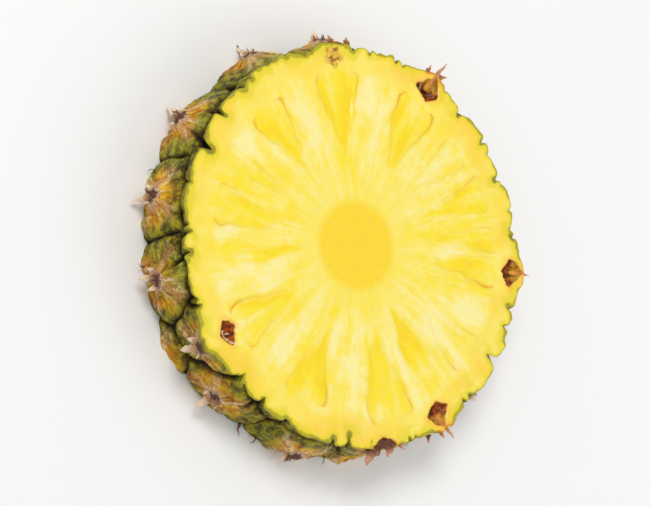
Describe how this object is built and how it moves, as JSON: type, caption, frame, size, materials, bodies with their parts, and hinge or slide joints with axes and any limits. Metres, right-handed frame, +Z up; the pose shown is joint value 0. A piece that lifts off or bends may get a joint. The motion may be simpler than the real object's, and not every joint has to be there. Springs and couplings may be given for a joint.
{
  "type": "thick round slice of fresh pineapple with peel and core",
  "caption": "Thick round cross-cut slice of a fresh pineapple with its scaly peel and its core still in, lying flat on one cut face.",
  "frame": {"origin": "on the fruit's axis, in the middle of the lower cut face", "axes": "+Z up along the fruit's axis, from the crown end to the base end; -Y towards the side of the peel that is shown"},
  "size_m": [0.1171, 0.1191, 0.02],
  "materials": {
    "fresh_pineapple": "moist yellow fruit flesh with a deeper yellow core, and a scaly green and orange-brown peel round the edge"
  },
  "bodies": {
    "root": {"pineapple_slice": "fresh_pineapple"}
  },
  "joints": []
}
